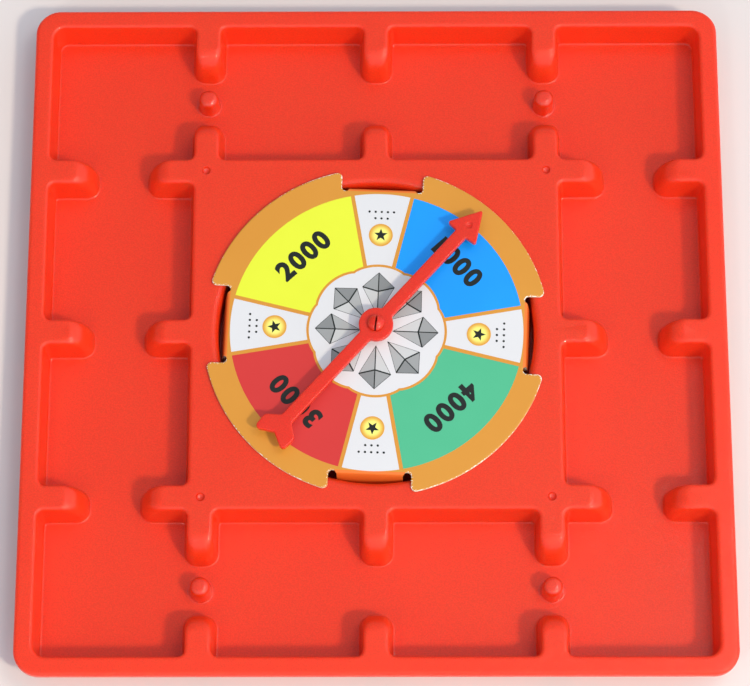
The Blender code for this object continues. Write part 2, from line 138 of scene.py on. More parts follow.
# %% [markdown]
# ## The table, the lamps and the sky
#
# A pale laminate table top fills the picture round the tray. The main lamp is a soft box
# at the near right: the shadows fall to the far left, with edges a millimetre or two wide.
# A small weak lamp at the near left adds a second glint to each round edge, and a wide
# weak one above the right side lays a faint sheen over the lower right of the tray. A pale
# bluish sky fills the rest, so the shadows stay open.

# %% Build the table and the lights
TABLE_SIDE = 4
TABLE_DROP = 0.2 * MM  # the tray's underside must not share the table's own plane
TABLE_CLOUD = 1000 / 9 * MM  # about the width of a cloud in the laminate's print
SKY_STRENGTH = 0.79
SKY_COLOUR = (0.8, 0.89, 1.0, 1)
SKY_MIDDLE, SKY_LEAST = 1.2, 0.15
WINDOW_SIDE = (0.52, -0.47, -0.3)  # the sky grows brighter towards the near right
# metres across and away; degrees up, round the object and of spread; watts; colour
LAMPS = {
    "soft box": (0.45, 4.0, 48.7, -42.2, 32, 2.7, (1.0, 0.88, 0.67)),
    "small lamp": (0.16, 1.6, 50, -118, 95, 0.5, (1.0, 0.95, 0.9)),
    "ceiling lamp": (0.5, 1.6, 69, 8, 95, 0.95, (1.0, 0.95, 0.88)),
}
LAMP_AIM = Vector((0.06, -0.16, 0))

table_mesh = bpy.data.meshes.new("table")
corners = [(x * TABLE_SIDE / 2, y * TABLE_SIDE / 2, 0) for x in (-1, 1) for y in (-1, 1)]
table_mesh.from_pydata(corners, [], [(0, 2, 3, 1)])
table = in_scene("table", table_mesh)
table.location.z = -TABLE_DROP
laminate, tree, shader = surface("pale laminate table", Roughness=0.6)
place = add(tree, "ShaderNodeTexCoord").outputs["Object"]
cloud = add(tree, "ShaderNodeTexNoise", Vector=place, Scale=1 / TABLE_CLOUD, Detail=2.0)
tree.links.new(mixed(tree, cloud.outputs["Fac"], "#E0D7D6", "#E4DCDB"), shader.inputs["Base Color"])
table_mesh.materials.append(laminate)

for name, (size, distance, height, turn, spread, power, colour) in LAMPS.items():
    lamp_data = bpy.data.lights.new(name, "AREA")
    lamp_data.shape = "DISK"
    lamp_data.size = size
    lamp_data.energy = power
    lamp_data.color = colour
    lamp_data.spread = math.radians(spread)
    lamp = in_scene(name, lamp_data)
    height, turn = math.radians(height), math.radians(turn)
    flat = math.cos(height)
    towards = Vector((flat * math.cos(turn), flat * math.sin(turn), math.sin(height)))
    lamp.location = towards * distance
    lamp.rotation_euler = (lamp.location - LAMP_AIM).to_track_quat("Z", "Y").to_euler()
    print(name, "at", [round(v, 2) for v in lamp.location])

sky = bpy.data.worlds.new("sky")
sky.use_nodes = True
tree = sky.node_tree
way = add(tree, "ShaderNodeTexCoord").outputs["Generated"]
slope = add(tree, "ShaderNodeVectorMath", {"operation": "DOT_PRODUCT"}, i0=way, i1=WINDOW_SIDE)
level = add(tree, "ShaderNodeMath", {"operation": "ADD"}, i0=slope.outputs["Value"], i1=SKY_MIDDLE)
level = add(tree, "ShaderNodeMath", {"operation": "MAXIMUM"}, i0=level.outputs[0], i1=SKY_LEAST)
light = add(tree, "ShaderNodeMath", {"operation": "MULTIPLY"}, i0=level.outputs[0], i1=SKY_STRENGTH)
tree.nodes["Background"].inputs["Color"].default_value = SKY_COLOUR
tree.links.new(light.outputs[0], tree.nodes["Background"].inputs["Strength"])
SCENE.world = sky

# %% [markdown]
# ## Red moulded polystyrene
#
# The tray and the arrow are injection moulded high-impact polystyrene: an even, strong
# red that lets a little light into its thin walls. The skin is not quite flat: the melt
# leaves soft waves a few centimetres wide, and the mould's fine texture of about half a
# millimetre breaks up each reflection and mottles the red with faint specks. Two glosses
# lie over each other, a broad satin one in the plastic and a thin sharp one as a coat.
# Polished pins in the mould shape the tray's pegs and dimples, so these are glossier, and
# their coat stays smooth where the skin round them is grained.

# %% Make the polystyrene
WAVE_WIDTH = 38 * MM
WAVE_HEIGHT = 0.5 * MM
GRIT_WIDTH = 0.55 * MM
GRIT_HEIGHT = 0.12 * MM
SPECK = 0.07  # how much a speck is lighter or darker
GLOW_DEPTH = 4 * MM  # how far red light travels in the plastic


def polystyrene(name, deep, bright, roughness, gloss, grained=True):
    """Moulded plastic between two reds. Its coat of that gloss is smooth if not grained."""
    made, tree, shader = surface(
        name, IOR=1.5, Specular_IOR_Level=0.28, Coat_Weight=gloss, Coat_Roughness=0.07,
        Subsurface_Weight=0.5, Subsurface_Radius=(1, 0.12, 0.05), Subsurface_Scale=GLOW_DEPTH,
    )
    place = add(tree, "ShaderNodeTexCoord").outputs["Object"]
    wave = add(tree, "ShaderNodeTexNoise", Vector=place, Scale=1 / WAVE_WIDTH, Detail=3.0)
    grit = add(tree, "ShaderNodeTexNoise", Vector=place, Scale=1 / GRIT_WIDTH, Detail=2.0)
    speck = add(
        tree, "ShaderNodeMapRange", Value=grit.outputs["Fac"],
        From_Min=0.35, From_Max=0.65, To_Min=1 - SPECK, To_Max=1 + SPECK,
    )
    colour = add(
        tree, "ShaderNodeVectorMath", {"operation": "SCALE"},
        i0=mixed(tree, wave.outputs["Fac"], deep, bright), Scale=speck.outputs["Result"],
    )
    tree.links.new(colour.outputs["Vector"], shader.inputs["Base Color"])
    rough = add(
        tree, "ShaderNodeMapRange", Value=grit.outputs["Fac"],
        To_Min=roughness - 0.05, To_Max=roughness + 0.06,
    )
    tree.links.new(rough.outputs["Result"], shader.inputs["Roughness"])
    low = add(tree, "ShaderNodeBump", Strength=0.35, Distance=WAVE_HEIGHT, Height=wave.outputs["Fac"])
    fine = add(
        tree, "ShaderNodeBump", Strength=0.6, Distance=GRIT_HEIGHT,
        Height=grit.outputs["Fac"], Normal=low.outputs["Normal"],
    )
    tree.links.new(fine.outputs["Normal"], shader.inputs["Normal"])
    if grained:
        tree.links.new(fine.outputs["Normal"], shader.inputs["Coat Normal"])
    return made


TRAY_RED = polystyrene("red high-impact polystyrene, moulded", "#E9330F", "#ED3813", 0.46, 0.42)
PIN_RED = polystyrene(
    "red polystyrene, from polished mould pins", "#E6300F", "#EB3512", 0.34, 0.9, grained=False
)
ARROW_RED = polystyrene("red polystyrene, moulded hard", "#D6270F", "#DE2E14", 0.42, 0.45)
print("polystyrene:", [material.name for material in (TRAY_RED, PIN_RED, ARROW_RED)])

# %% [markdown]
# ## Helpers for mesh
#
# The mouldings have few kinds of form: an outline with rounded corners, drawn at one
# height after another. So one function rounds an outline, one joins rings of points into
# a skin, and one fills a flat panel, with holes in it, between rings.

# %% Outline helpers
def polar(radius, angle):
    return Vector((radius * math.cos(angle), radius * math.sin(angle)))


def arc(centre, radius, start, sweep, steps):
    return [centre + polar(radius, start + sweep * s / steps) for s in range(steps + 1)]


def rounded(corners, steps):
    """A closed outline whose corners (x, y, radius) are arcs of that many steps."""
    points = []
    for i, (x, y, radius) in enumerate(corners):
        corner = Vector((x, y))
        back_way = (Vector(corners[i - 1][:2]) - corner).normalized()
        on_way = (Vector(corners[(i + 1) % len(corners)][:2]) - corner).normalized()
        half_angle = back_way.angle(on_way) / 2
        centre = corner + (back_way + on_way).normalized() * (radius / math.sin(half_angle))
        start = corner + back_way * (radius / math.tan(half_angle)) - centre
        end = corner + on_way * (radius / math.tan(half_angle)) - centre
        sweep = -start.angle_signed(end)
        points += arc(centre, radius, math.atan2(start.y, start.x), sweep, steps)
    return points


def quarter(steps):
    return [math.radians(90 * s / steps) for s in range(steps + 1)]


def quarter_round(corner, width, height, steps):
    """A quarter round on a sharp corner, from its upright side to its level one."""
    x, z = corner
    return [(x + width * (1 - math.cos(a)), z + height * (1 - math.sin(a))) for a in quarter(steps)]


print("a quarter in six steps:", [round(math.degrees(angle)) for angle in quarter(6)])

# %% Mesh helpers
def row_of(shape, points, height):
    return [shape.verts.new((*point, height)) for point in points]


def skin(shape, rows):
    """Joins each row to the next with quads. The rows run round the same way."""
    for lower, upper in zip(rows, rows[1:]):
        for i in range(len(lower)):
            shape.faces.new((lower[i - 1], lower[i], upper[i], upper[i - 1]))
    return rows


def panel(shape, loops):
    """Fills the flat face between the first loop of points and the holes in it."""
    points = [vert for loop in loops for vert in loop]
    for corners in tessellate_polygon([[vert.co for vert in loop] for loop in loops]):
        if len(set(corners)) == 3:
            shape.faces.new([points[i] for i in corners])


QUARTERS = [Matrix.Rotation(math.radians(90 * k), 2) for k in range(4)]
CORNERS = ((-1, -1), (-1, 1), (1, -1), (1, 1))
print("quarter turns:", len(QUARTERS), "corners:", CORNERS)

# %% Helpers that finish a piece
def mesh_of(name, shape):
    """The shape as a plain mesh. The shape itself is freed."""
    mesh = bpy.data.meshes.new(name)
    shape.to_mesh(mesh)
    shape.free()
    return mesh


def smooth(mesh, angle=40):
    """Shades the mesh smooth, but for the edges that turn by more than the angle."""
    mesh.shade_smooth()
    mesh.set_sharp_from_angle(angle=math.radians(angle))


def piece(name, shape, body, slot, *materials, angle=40):
    """The finished mesh as an object that rides on a body."""
    bmesh.ops.recalc_face_normals(shape, faces=shape.faces)
    mesh = mesh_of(name, shape)
    smooth(mesh, angle)
    for material in materials:
        mesh.materials.append(material)
    made = in_scene(name, mesh)
    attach(made, body)
    print(name, len(mesh.polygons), "faces")
    return made

# %% [markdown]
# ## The tray
#
# The tray is one thin moulding, so it is drawn as one skin. Twelve tabs on the rim face
# twelve on the platform. Each is flat on top and falls to the floor in a quarter
# ellipse, and every wall leans out a little towards the floor so that the moulding can
# leave its mould. An outline is drawn at each height, from the floor's fillet to the
# rolled top edge, and the rows are joined. The hidden side is the same, one wall in.

# %% Sizes of the tray
WELL_RADIUS = 56.2 * MM
WELL_FILLET = 2.6 * MM
PLATFORM_HALF = 65.9 * MM
RIM_HALF = 118.4 * MM
TRAY_HALF = 125 * MM
TRAY_CORNER = 9 * MM
WALL = 1.2 * MM
FLOOR = WALL
DEPTH = 13 * MM
TOP = FLOOR + DEPTH
LIP_DROP = 3.2 * MM
LIP_EDGE = 1.3 * MM
WALL_LEAN = 1.2 * MM
TOP_FILLET = 1.2 * MM
FOOT_FILLET = 0.7 * MM
POCKET_CORNER = 4.4 * MM
ROOT_FILLET = 2.6 * MM
TAB_WIDTH = 8.9 * MM
TAB_FLAT = 8.8 * MM
TAB_CURVE = 8.2 * MM
TAB_CORNER = 3 * MM
TAB_CENTRE = PLATFORM_HALF - TAB_WIDTH / 2
PEG_LINE = (RIM_HALF + PLATFORM_HALF) / 2
HOLD = 0.5 * MM  # a narrow row beside each fillet keeps the flat faces flat in the light
LEAST_RADIUS = 0.3 * MM
OUTLINE_STEPS = 7
WALL_STEPS = 14
WELL_STEPS = 160
print("tray", 2 * TRAY_HALF, "m square,", TOP, "m high")

# %% Heights and offsets of the walls
def lean(height):
    return WALL_LEAN * (1 - height / DEPTH)


def wall_levels():
    """Height over the floor and offset from the sharp top line, up a filleted wall."""
    levels = [(0, lean(0) + FOOT_FILLET + HOLD)]
    for angle in quarter(5):
        height = FOOT_FILLET * (1 - math.cos(angle))
        levels.append((height, lean(height) + FOOT_FILLET * (1 - math.sin(angle))))
    low, high = FOOT_FILLET, DEPTH - TOP_FILLET
    for step in range(1, WALL_STEPS):
        height = low + (high - low) * math.sin(math.radians(90 * step / WALL_STEPS))
        levels.append((height, lean(height)))
    for angle in quarter(7):
        height = DEPTH - TOP_FILLET * (1 - math.sin(angle))
        levels.append((height, lean(height) - TOP_FILLET * (1 - math.cos(angle))))
    return levels + [(DEPTH, -TOP_FILLET - HOLD)]


def under_levels():
    shares = [s / 8 for s in range(9)]
    return [(DEPTH * s, WALL_LEAN * (1 - s) - WALL) for s in shares]


print(len(wall_levels()), "rows up the visible side,", len(under_levels()), "up the hidden one")

# %% Outlines of the rim and the platform
def tab_reach(height, offset, inset):
    fall = math.sqrt(max(1 - (height / DEPTH) ** 2, 0))
    return TAB_FLAT + TAB_CURVE * fall + max(offset - WALL_LEAN, 0) - inset


def four_sides(side, steps=OUTLINE_STEPS):
    """The outline whose four sides all have those corners (x, y, radius)."""
    corners = [(*(turn @ Vector((x, y))), radius) for turn in QUARTERS for x, y, radius in side]
    return rounded(corners, steps)


def rim_ring(height, offset, inset=0):
    wall = RIM_HALF - offset
    tip = RIM_HALF - tab_reach(height, offset, inset)
    root = max(ROOT_FILLET - offset, LEAST_RADIUS)
    corner = TAB_CORNER + offset
    side = [(wall, -wall, max(POCKET_CORNER - offset, LEAST_RADIUS))]
    for middle in (-TAB_CENTRE, 0, TAB_CENTRE):
        low = middle - TAB_WIDTH / 2 - offset
        high = middle + TAB_WIDTH / 2 + offset
        side += [(wall, low, root), (tip, low, corner), (tip, high, corner), (wall, high, root)]
    return four_sides(side)


def platform_ring(height, offset, inset=0):
    wall = PLATFORM_HALF + offset
    tip = PLATFORM_HALF + tab_reach(height, offset, inset)
    root = max(ROOT_FILLET - offset, LEAST_RADIUS)
    corner = TAB_CORNER + offset
    inner = PLATFORM_HALF - TAB_WIDTH - offset
    middle = TAB_WIDTH / 2 + offset
    half = [(wall, -wall, root), (tip, -wall, corner), (tip, -inner, corner)]
    half += [(wall, -inner, root), (wall, -middle, root), (tip, -middle, corner)]
    return four_sides(half + [(x, -y, radius) for x, y, radius in reversed(half[1:])])


def square(half_side, radius):
    return four_sides([(half_side, -half_side, radius)], 12)


print(len(rim_ring(0, 0)), "points round the rim,", len(platform_ring(0, 0)), "round the platform")

# %% [markdown]
# Pegs, dimples and the well are round, so each is a turned profile of rows. A small
# function draws one at each of its places and gives back its open edge, which the flat
# panel round it is filled against.

# %% Round features of the tray
PEG_TOP_RADIUS = 3.6 * MM
PEG_FOOT_RADIUS = 4 * MM
PEG_HEIGHT = 8 * MM
PEG_FILLET = 2.2 * MM
PEG_FOOT_FILLET = 0.4 * MM
DIMPLE_RADIUS = 1.6 * MM
DIMPLE_DEPTH = 1.3 * MM


def turned(shape, profile, centre=(0, 0), steps=40):
    """Rows round an axis. A profile's last point at radius 0 closes the end."""
    rows = []
    for radius, height in profile:
        if radius == 0:
            tip = shape.verts.new((*centre, height))
            last = rows[-1]
            for i in range(steps):
                shape.faces.new((last[i - 1], last[i], tip))
            break
        rows.append(row_of(shape, arc(Vector(centre), radius, 0, math.tau, steps)[:-1], height))
    skin(shape, rows)
    return rows[0]


def bowl(radius, top, depth, steps):
    """The profile of a round dimple, from its edge to its lowest point."""
    wall = [(radius * math.cos(a), top - depth * math.sin(a)) for a in quarter(steps)[1:-1]]
    return [(radius, top), *wall, (0, top - depth)]


def polished(shape, profile, centre):
    """A turned form with the second material, for what a polished pin in the mould shapes."""
    before = len(shape.faces)
    ring = turned(shape, profile, centre)
    for face in list(shape.faces)[before:]:
        face.material_index = 1
    return ring


def peg(shape, centre):
    top = FLOOR + PEG_HEIGHT
    profile = [(PEG_FOOT_RADIUS + PEG_FOOT_FILLET + HOLD, FLOOR)]
    profile += quarter_round((PEG_FOOT_RADIUS, FLOOR), PEG_FOOT_FILLET, PEG_FOOT_FILLET, 4)[::-1]
    profile += quarter_round((PEG_TOP_RADIUS, top), -PEG_FILLET, -PEG_FILLET, 6)
    profile += [(PEG_TOP_RADIUS - PEG_FILLET - HOLD, top), (0, top)]
    return polished(shape, profile, centre)


def dimple(shape, centre):
    profile = [(DIMPLE_RADIUS + HOLD, TOP)] + bowl(DIMPLE_RADIUS, TOP, DIMPLE_DEPTH, 6)
    return polished(shape, profile, centre)


def hollow(shape, centre, radius, bottom, top):
    return turned(shape, [(radius, bottom), (radius, top), (0, top)], centre, 24)


print("pegs", round(PEG_HEIGHT / MM, 1), "mm high, dimples", round(DIMPLE_DEPTH / MM, 1), "mm deep")

# %% Draw the tray
def tray():
    shape = bmesh.new()
    levels = wall_levels()
    rim = skin(shape, [row_of(shape, rim_ring(z, o), FLOOR + z) for z, o in levels])
    platform = skin(shape, [row_of(shape, platform_ring(z, o), FLOOR + z) for z, o in levels])
    edge = [(LIP_EDGE + HOLD, TOP)] + quarter_round((0, TOP), LIP_EDGE, -LIP_EDGE, 6)[::-1]
    edge += [(0, TOP - LIP_DROP), (WALL, TOP - LIP_DROP), (WALL, TOP - WALL)]
    lip = [row_of(shape, square(TRAY_HALF - inset, TRAY_CORNER - inset), z) for inset, z in edge]
    skin(shape, lip)
    peg_places = [(x * TAB_CENTRE, y * PEG_LINE) for x, y in CORNERS]
    pegs = [peg(shape, place) for place in peg_places]
    dimple_places = [(x * TAB_CENTRE, y * TAB_CENTRE) for x, y in CORNERS]
    dimples = [dimple(shape, place) for place in dimple_places]
    well = [(WELL_RADIUS + WELL_FILLET + HOLD, TOP)]
    well += quarter_round((WELL_RADIUS, TOP), WELL_FILLET, -WELL_FILLET, 9)[::-1]
    well += [(WELL_RADIUS, FLOOR), (0, FLOOR)]
    well_edge = turned(shape, well, steps=WELL_STEPS)
    panel(shape, [lip[0], rim[-1]])
    panel(shape, [rim[0], platform[0], *pegs])
    panel(shape, [platform[-1], well_edge, *dimples])

    under = under_levels()
    outer = skin(shape, [row_of(shape, rim_ring(z, o, WALL), z) for z, o in under])
    inner = skin(shape, [row_of(shape, platform_ring(z, o, WALL), z) for z, o in under])
    ceiling = under[-1][0]
    cup_radius = WELL_RADIUS + WALL
    cup = turned(shape, [(cup_radius, ceiling), (cup_radius, 0), (0, 0)], steps=WELL_STEPS)
    inside, boss = PEG_FOOT_RADIUS - WALL, DIMPLE_RADIUS + WALL
    boss_top = TOP - DIMPLE_DEPTH - WALL
    holes = [hollow(shape, place, inside, 0, PEG_HEIGHT) for place in peg_places]
    bosses = [hollow(shape, place, boss, ceiling, boss_top) for place in dimple_places]
    panel(shape, [lip[-1], outer[-1]])
    panel(shape, [outer[0], inner[0], *holes])
    panel(shape, [inner[-1], cup, *bosses])
    return shape


tray_piece = piece("moulded_tray", tray(), "tray", "tray_plastic", TRAY_RED, PIN_RED)
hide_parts("tray")

# %% [markdown]
# ## The board disc
#
# The disc is solid board, about 0.9 mm thick, die cut and varnished on its printed side.
# Four notches are cut in its edge, with a round relief at each end of the fold, and the
# piece left between is bent down as a flap that fits the round well. The cut edge shows
# the board's pale core. A "wear" value, 1 at the very edge and 0 a little way in, lets
# the print rub off along the edge only.

# %% Materials of the board
FIBRE = 0.35 * MM
INK_CLOUD = 24 * MM
PAPER_GRAIN = 0.9 * MM
VARNISH_ROUGHNESS = 0.38


def fibrous(name, dark, pale, detail, roughness):
    """Bare board or paper: dull, and mottled by its fibres."""
    made, tree, shader = surface(name, Roughness=roughness)
    place = add(tree, "ShaderNodeTexCoord").outputs["Object"]
    fibre = add(tree, "ShaderNodeTexNoise", Vector=place, Scale=1 / FIBRE, Detail=detail)
    tree.links.new(mixed(tree, fibre.outputs["Fac"], dark, pale), shader.inputs["Base Color"])
    return made


def varnished(name, colour, shade, rubbed="#F6F0E8"):
    """Offset ink under a thin satin varnish. It rubs off where the wear attribute is high."""
    made, tree, shader = surface(name, Roughness=VARNISH_ROUGHNESS, Specular_IOR_Level=0.35)
    place = add(tree, "ShaderNodeTexCoord").outputs["Object"]
    cloud = add(tree, "ShaderNodeTexNoise", Vector=place, Scale=1 / INK_CLOUD, Detail=3.0)
    grain = add(tree, "ShaderNodeTexNoise", Vector=place, Scale=1 / PAPER_GRAIN, Detail=3.0)
    wear = add(tree, "ShaderNodeAttribute", {"attribute_name": "wear"})
    rub = add(
        tree, "ShaderNodeMath", {"operation": "MULTIPLY_ADD"},
        i0=wear.outputs["Fac"], i1=cloud.outputs["Fac"], i2=grain.outputs["Fac"],
    )
    rub = add(tree, "ShaderNodeMapRange", Value=rub.outputs[0], From_Min=1.04, From_Max=1.1)
    ink = mixed(tree, cloud.outputs["Fac"], colour, shade)
    tree.links.new(mixed(tree, rub.outputs["Result"], ink, rubbed), shader.inputs["Base Color"])
    bump = add(tree, "ShaderNodeBump", Strength=0.1, Distance=0.05 * MM, Height=grain.outputs["Fac"])
    tree.links.new(bump.outputs["Normal"], shader.inputs["Normal"])
    return made


BOARD_CORE = fibrous("grey board core, die cut", "#B98F62", "#F0E2CF", 4.0, 0.85)
# The flaps' printed face gets a darker, redder orange: painted shade and painted red light bounced from
# the well.
FLAP_PAINTED_SHADE_ORANGE = varnished("orange ink, redder for painted shade and bounce light", "#E6702A", "#EC7A2F")
ORANGE = varnished("orange ink under varnish", "#CF8B31", "#D7953A")
CARD_FINISH = (ORANGE, BOARD_CORE, FLAP_PAINTED_SHADE_ORANGE)
print("board:", [material.name for material in CARD_FINISH])

# %% Sizes of the disc
HUB = Vector((0, 0))
CARD_RADIUS = 61.5 * MM
CARD_THICKNESS = 0.9 * MM
CARD_CREEP = math.radians(2.4)  # how far the loose disc has turned in its well
CARD_TURN = Matrix.Rotation(-CARD_CREEP, 4, "Z")
CARD_CORNER = 1.7 * MM
CLEARANCE = 0.3 * MM  # between the solids of one piece and the next
CARD_BOTTOM = TOP + CLEARANCE
CARD_TOP = CARD_BOTTOM + CARD_THICKNESS
FOLD = WELL_RADIUS - 3.6 * MM
FLAP_HALF = 11.6 * MM
FLAP_BEND = math.radians(81)
BEND_RADIUS = 0.1 * MM
SLOT_RADIUS = 1.5 * MM
SLOT = Vector((FOLD + 1.4 * MM, FLAP_HALF + SLOT_RADIUS))  # the middle of the slot's round end
NOTCH_HALF = SLOT.y + SLOT_RADIUS
PIN_HOLE_RADIUS = 2.5 * MM
EDGE_ROUND = 0.12 * MM
WEAR_WIDTH = 0.55 * MM
ACROSS = (-1, -0.95, -0.6, -0.2, 0.2, 0.6, 0.95, 1)  # places across a flap
print("fold", round(FOLD / MM, 2), "mm from the hub")

# %% Draw the disc's outline
def flap_half(reach):
    """Half the flap's width, that far from the hub as flat board."""
    depth = max(SLOT.x - reach, 0)
    return SLOT.y - math.sqrt(SLOT_RADIUS**2 - depth**2)


def card_outline():
    """One quarter: slot end, fold, slot end, corner, round edge, corner."""
    right = math.pi / 2
    fold_end = math.acos((SLOT.x - FOLD) / SLOT_RADIUS)
    side = arc(SLOT * Vector((1, -1)), SLOT_RADIUS, -right, -right - fold_end, 16)
    side += [Vector((FOLD, share * flap_half(FOLD))) for share in ACROSS[1:-1]]
    side += arc(SLOT, SLOT_RADIUS, 2 * right + fold_end, -right - fold_end, 16)
    reach, high = CARD_RADIUS - CARD_CORNER, NOTCH_HALF + CARD_CORNER
    corner = Vector((math.sqrt(reach**2 - high**2), high))
    start = math.atan2(corner.y, corner.x)
    side += arc(corner, CARD_CORNER, -right, right + start, 8)
    side += arc(HUB, CARD_RADIUS, start, right - 2 * start, 40)[1:-1]
    side += arc(corner.yx, CARD_CORNER, right - start, right + start, 8)
    return [turn @ point for turn in QUARTERS for point in side], len(side)


def inset_ring(points, distance):
    """The outline drawn in by a small distance."""
    moved = []
    for i, point in enumerate(points):
        before = (point - points[i - 1]).normalized()
        after = (points[(i + 1) % len(points)] - point).normalized()
        inward = Vector((-before.y - after.y, before.x + after.x)).normalized()
        moved.append(point + inward * (distance / max(inward.dot(Vector((-after.y, after.x))), 0.5)))
    return moved


print(len(card_outline()[0]), "points round the disc")

# %% Bend a flap
def bend(turn, angle, run, across, level):
    """A point of a flap: bent by the angle, then that far along, at a level of the board."""
    out = Vector((math.sin(angle), 0, math.cos(angle)))
    along = Vector((math.cos(angle), 0, -math.sin(angle)))
    point = Vector((FOLD, across, CARD_BOTTOM - BEND_RADIUS))
    return turn @ (point + along * run + out * (BEND_RADIUS + level * CARD_THICKNESS))


def flap_path():
    """Bend angle, straight run and half width, from the fold to the flap's round end."""
    middle = BEND_RADIUS + CARD_THICKNESS / 2
    path = [(FLAP_BEND * s / 8, 0, flap_half(FOLD + FLAP_BEND * s / 8 * middle)) for s in range(1, 9)]
    reaches = [SLOT.x - (SLOT.x - FOLD - FLAP_BEND * middle) * (1 - s / 5) for s in range(1, 6)]
    path += [(FLAP_BEND, reach - FOLD - FLAP_BEND * middle, flap_half(reach)) for reach in reaches]
    for width in [FLAP_HALF * share for share in (1, 0.85, 0.65, 0.4, 0.15)]:
        reach = math.sqrt(CARD_RADIUS**2 - width**2)
        path.append((FLAP_BEND, reach - FOLD - FLAP_BEND * middle, width))
    return path


def add_flap(shape, turn, lower, upper):
    """Carries the board on from the fold's two rows of points, down into the well."""
    rows = [(lower, upper)]
    for angle, run, width in flap_path():
        rows.append([
            [shape.verts.new(bend(turn, angle, run, t * width, level)) for t in ACROSS]
            for level in (0, 1)
        ])
    for last, row in zip(rows, rows[1:]):
        # Level 0 is the board's underside; level 1, the printed face, takes the flap's orange with
        # painted shade and red bounce light.
        for level in (0, 1):
            for j in range(len(ACROSS) - 1):
                corners = (last[level][j], last[level][j + 1], row[level][j + 1], row[level][j])
                shape.faces.new(corners).material_index = 1 + level
        for j in (0, -1):
            corners = (last[0][j], last[1][j], row[1][j], row[0][j])
            shape.faces.new(corners).material_index = 1
    end = rows[-1]
    for j in range(len(ACROSS) - 1):
        corners = (end[0][j], end[0][j + 1], end[1][j + 1], end[1][j])
        shape.faces.new(corners).material_index = 1


print("a flap bends by", round(math.degrees(FLAP_BEND)), "degrees in", len(flap_path()), "rows")

# %% Build the disc
def board_disc():
    shape = bmesh.new()
    wear = shape.verts.layers.float.new("wear")
    outline, count = card_outline()
    levels = [(0, CARD_BOTTOM), (0, CARD_TOP - EDGE_ROUND)]
    levels += [(EDGE_ROUND, CARD_TOP), (WEAR_WIDTH, CARD_TOP)]
    rings = [row_of(shape, inset_ring(outline, inset), height) for inset, height in levels]
    folds = [range(16 + count * k, 16 + count * k + len(ACROSS)) for k in range(4)]
    in_fold = {i for places in folds for i in places}
    for lower, upper in zip(rings, rings[1:]):
        for i in range(len(lower)):
            if upper is not rings[3] and {i, i - 1} <= in_fold:
                continue
            corners = (lower[i - 1], lower[i], upper[i], upper[i - 1])
            shape.faces.new(corners).material_index = int(upper is rings[1])
    for ring in rings[1:3]:
        for i, vert in enumerate(ring):
            vert[wear] = 0 if {i - 1, i, i + 1} <= in_fold else 1
    hole = arc(HUB, PIN_HOLE_RADIUS, 0, math.tau, 32)[:-1]
    bore = [row_of(shape, hole, height) for height in (CARD_BOTTOM, CARD_TOP)]
    skin(shape, bore)
    panel(shape, [rings[3], bore[1]])
    before = len(shape.faces)
    panel(shape, [rings[0], bore[0]])
    for face in list(shape.faces)[before:]:
        face.material_index = 1
    for turn, places in zip(QUARTERS, folds):
        add_flap(shape, turn.to_4x4(), [rings[0][i] for i in places], [rings[2][i] for i in places])
        for end in (places[0], places[-1]):
            shape.faces.new([ring[end] for ring in rings[:3]]).material_index = 1
    bmesh.ops.transform(shape, matrix=CARD_TURN, verts=shape.verts)
    return shape


card_piece = piece("board_disc", board_disc(), "card", "printed_board", *CARD_FINISH, angle=50)
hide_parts("spinner_card")

# %% [markdown]
# ## The print
#
# Each printed shape is drawn once, flat, as a thin film of ink, and Geometry Nodes set
# the copies round the hub: white fields between the coloured ones, round spots, grey
# facets and dots. One tree does it all. Its inputs say which shape, how many copies, how
# far from the hub and at which first angle, and it ends in real mesh with its material.

# %% Helpers that start, end and run a tree
def new_tree(name, **inputs):
    """A tree with those inputs, each a name and its kind, and the sockets that carry them."""
    tree = bpy.data.node_groups.new(name, "GeometryNodeTree")
    for label, kind in inputs.items():
        label = label.replace("_", " ")
        tree.interface.new_socket(label, in_out="INPUT", socket_type=f"NodeSocket{kind}")
    tree.interface.new_socket("Geometry", in_out="OUTPUT", socket_type="NodeSocketGeometry")
    return tree, tree.nodes.new("NodeGroupInput").outputs


def end_tree(tree, copies, finish):
    """Turns the copies to real mesh in its material, and ends the tree there."""
    real = add(tree, "GeometryNodeRealizeInstances", Geometry=copies.outputs[0])
    dressed = add(tree, "GeometryNodeSetMaterial", Geometry=real.outputs[0], Material=finish)
    add(tree, "NodeGroupOutput", i0=dressed.outputs[0])
    return tree


def result_of(holder):
    """The mesh that an object's modifiers, or its text, come to."""
    graph = bpy.context.evaluated_depsgraph_get()
    return bpy.data.meshes.new_from_object(holder.evaluated_get(graph))


def run_tree(name, tree, values, placed):
    """Runs a tree with its inputs set, and gives back the plain mesh that it makes."""
    holder = in_scene(name, bpy.data.meshes.new(name))
    modifier = holder.modifiers.new(name, "NODES")
    modifier.node_group = tree
    for item in tree.interface.items_tree:
        if item.in_out == "INPUT" and item.name in values:
            modifier[item.identifier] = values[item.name]
    mesh = result_of(holder)
    bpy.data.objects.remove(holder)
    mesh.transform(placed)
    return mesh

